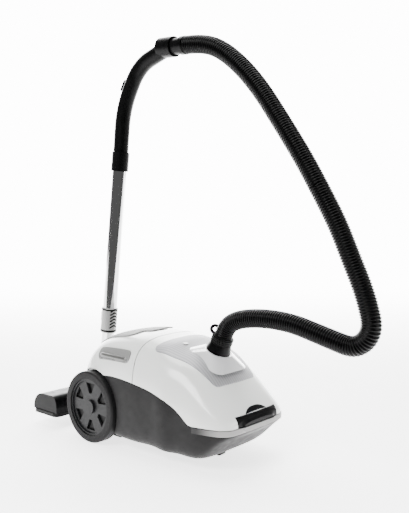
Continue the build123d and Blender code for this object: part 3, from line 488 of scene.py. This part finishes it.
HUB_X = -0.084
HUB_Z = 0.0835
SHADE_DISC_RADIUS = 0.0557
SHADE_DISC_FACES = (0.1283, 0.1288)
# Painted shade: a thin black disc at the bottom of each wheel's hub pockets makes the pockets read nearly
# black.
for side, body in ((-1, "wheel_right"), (1, "wheel_left")):
    shade_disc_outlines = [circle(Vector((HUB_X, side * y, HUB_Z)), Vector((1, 0, 0)), Vector((0, 0, 1)),
                             SHADE_DISC_RADIUS, SHADE_DISC_RADIUS, 64) for y in SHADE_DISC_FACES]
    pocket_shade_disc = finished(body + "_pocket_shade", skin_mesh(body + "_pocket_shade", shade_disc_outlines), "black_plastic", body,
                     smooth=False)

# ------------------------------------------------------------------ wand trim
WAND_FOOT = Vector((-0.2047, 0, 0))
WAND_RISE = Vector((0.12, 0, 1))
RING_PROUD = 0.0006
wand_axis = WAND_RISE.normalized()


def on_wand(z):
    """The point of the wand's axis at a height."""
    return WAND_FOOT + WAND_RISE * z


def wand_ring(name, z, radius, height, body):
    """A closed black ring around the wand, with small chamfers."""
    low, high = z - height / 2, z + height / 2
    levels = [on_wand(low), on_wand(low + RING_PROUD), on_wand(high - RING_PROUD), on_wand(high)]
    data = tube_mesh(name, levels, [radius - RING_PROUD, radius, radius, radius - RING_PROUD], 48)
    finished(name, data, "black_plastic", body)


collar_low, collar_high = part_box("wand_collar")
collar_radius = (collar_high.y - collar_low.y) / 2
collar_body = body_of("wand_collar")
wand_ring("collar_ring_low", collar_low.z + 0.007, collar_radius + RING_PROUD, 0.005, collar_body)
wand_ring("collar_ring_high", collar_high.z - 0.006, collar_radius + RING_PROUD, 0.004, collar_body)
grip_low = collar_low.z + 0.25 * (collar_high.z - collar_low.z)
grip_high = collar_low.z + 0.86 * (collar_high.z - collar_low.z)
GRIP_BARS = 6
GRIP_STEPS = 14
GRIP_HALF_ANGLE = 34
GRIP_HALF_THICK = 0.0018
GRIP_HALF_HIGH = 0.0026
GRIP_WAVE = 0.0022
for bar in range(GRIP_BARS):
    centre = on_wand(grip_low + (grip_high - grip_low) * bar / (GRIP_BARS - 1))
    bar_outlines = []
    for k in range(GRIP_STEPS + 1):
        angle = radians(-GRIP_HALF_ANGLE + 2 * GRIP_HALF_ANGLE * k / GRIP_STEPS)
        offset = Vector((cos(angle), sin(angle), 0)) * (collar_radius - RING_PROUD)
        point = centre + offset + wand_axis * GRIP_WAVE * cos(5 * angle)
        outward = (point - centre).normalized()
        bar_outlines.append(circle(point, outward, wand_axis, GRIP_HALF_THICK, GRIP_HALF_HIGH, 10))
    arc = finished(f"collar_grip_{bar + 1}", skin_mesh(f"grip_bar_{bar}", bar_outlines), "black_plastic",
                   collar_body)

# ------------------------------------------------------------------ ring on the hose connector
ring_centre = port + port_axis * 0.064 + Vector((-0.92, 0, 0.39)) * 0.0265
bpy.ops.mesh.primitive_torus_add(major_radius=0.0085, minor_radius=0.0036, major_segments=40,
                                 minor_segments=14, location=ring_centre,
                                 rotation=(radians(62), radians(10), radians(40)))
cord_ring = bpy.context.active_object
cord_ring.name = "connector_ring"
cord_ring.data.transform(cord_ring.matrix_world)
cord_ring.matrix_world = Matrix.Identity(4)
cord_ring.data.materials.append(materials["black_plastic"])
for polygon in cord_ring.data.polygons:
    polygon.use_smooth = True
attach(cord_ring, body_of("hose_connector"))

# ------------------------------------------------------------------ studio
def eased(tree, start, end, low, high):
    """A node that eases from a low to a high value."""
    made = tree.nodes.new("ShaderNodeMapRange")
    made.interpolation_type = "SMOOTHSTEP"
    for socket, value in (("From Min", start), ("From Max", end), ("To Min", low), ("To Max", high)):
        made.inputs[socket].default_value = value
    return made


STUDIO_LEVEL = 0.12
BACKDROP_LEVEL = 14.0
FLOOR_NEAR = -0.62
FLOOR_FAR = 9.0
FLOOR_SIDE = 7.0
floor_mesh = bpy.data.meshes.new("floor")
into_view = Vector((-0.665, 0.747, 0))
across_view = Vector((0.747, 0.665, 0))
floor_corners = [into_view * depth + across_view * side
                 for depth, side in ((FLOOR_NEAR, -FLOOR_SIDE), (FLOOR_NEAR, FLOOR_SIDE),
                                     (FLOOR_FAR, FLOOR_SIDE), (FLOOR_FAR, -FLOOR_SIDE))]
floor_mesh.from_pydata(floor_corners, [], [(0, 1, 2, 3)])
floor = bpy.data.objects.new("floor", floor_mesh)
bpy.context.collection.objects.link(floor)
floor_finish, floor_shader = new_material("studio_floor", (0.93, 0.93, 0.93), 0.6, specular=0.2)
floor_shader.inputs["Emission Color"].default_value = (1, 1, 1, 1)
floor_place = node(floor_finish, "ShaderNodeTexCoord")
floor_depth = node(floor_finish, "ShaderNodeVectorMath", operation="DOT_PRODUCT")
floor_depth.inputs[1].default_value = into_view
link(floor_finish, floor_place.outputs["Object"], floor_depth.inputs[0])
near_glow = eased(floor_finish.node_tree, FLOOR_NEAR, -0.3, 3.2, 2.6)
far_glow = eased(floor_finish.node_tree, 0.2, 3.5, 0.0, 9.0)
glow = node(floor_finish, "ShaderNodeMath", operation="ADD")
link(floor_finish, floor_depth.outputs["Value"], near_glow.inputs["Value"])
link(floor_finish, floor_depth.outputs["Value"], far_glow.inputs["Value"])
link(floor_finish, near_glow.outputs["Result"], glow.inputs[0])
link(floor_finish, far_glow.outputs["Result"], glow.inputs[1])
link(floor_finish, glow.outputs["Value"], floor_shader.inputs["Emission Strength"])
floor.data.materials.append(floor_finish)

world = bpy.data.worlds.new("studio")
world.use_nodes = True
backdrop = world.node_tree.nodes["Background"]
sky = world.node_tree.nodes.new("ShaderNodeTexCoord")
facing = world.node_tree.nodes.new("ShaderNodeVectorMath")
facing.operation = "DOT_PRODUCT"
facing.inputs[1].default_value = into_view
spread = eased(world.node_tree, 0.55, 0.9, STUDIO_LEVEL, BACKDROP_LEVEL)
world.node_tree.links.new(sky.outputs["Generated"], facing.inputs[0])
world.node_tree.links.new(facing.outputs["Value"], spread.inputs["Value"])
world.node_tree.links.new(spread.outputs["Result"], backdrop.inputs["Strength"])
backdrop.inputs["Color"].default_value = (1, 1, 1, 1)
bpy.context.scene.world = world


def softbox(name, place, target, size, power):
    """A large soft area light."""
    light = bpy.data.lights.new(name, "AREA")
    light.shape = "RECTANGLE"
    light.size = size[0]
    light.size_y = size[1]
    light.energy = power
    holder = bpy.data.objects.new(name, light)
    aim = (Vector(target) - Vector(place)).to_track_quat("-Z", "Y")
    holder.matrix_world = Matrix.Translation(place) @ aim.to_matrix().to_4x4()
    bpy.context.collection.objects.link(holder)


softbox("key", (0.2, -2.2, 2.2), (0.05, 0, 0.3), (1.6, 1.2), 125)
softbox("fill", (2.4, 0.6, 1.4), (0.05, 0, 0.3), (1.4, 1.4), 34)
softbox("top", (-0.3, 0.3, 2.6), (0.0, 0, 0.2), (1.6, 1.6), 105)

# ------------------------------------------------------------------ camera
CAMERA_PLACE = (1.1558, -1.1264, 0.5323)
camera_data = bpy.data.cameras.new("camera")
camera_data.sensor_width = 36.0
camera_data.lens = 47.88
camera = bpy.data.objects.new("camera", camera_data)
turn = radians(41.69)
dip = radians(3.59)
ahead = Vector((-sin(turn) * cos(dip), cos(turn) * cos(dip), -sin(dip)))
right = Vector((cos(turn), sin(turn), 0))
up = right.cross(ahead)
camera.matrix_world = Matrix((
    (right.x, up.x, -ahead.x, CAMERA_PLACE[0]),
    (right.y, up.y, -ahead.y, CAMERA_PLACE[1]),
    (right.z, up.z, -ahead.z, CAMERA_PLACE[2]),
    (0, 0, 0, 1),
))
bpy.context.collection.objects.link(camera)
bpy.context.scene.camera = camera
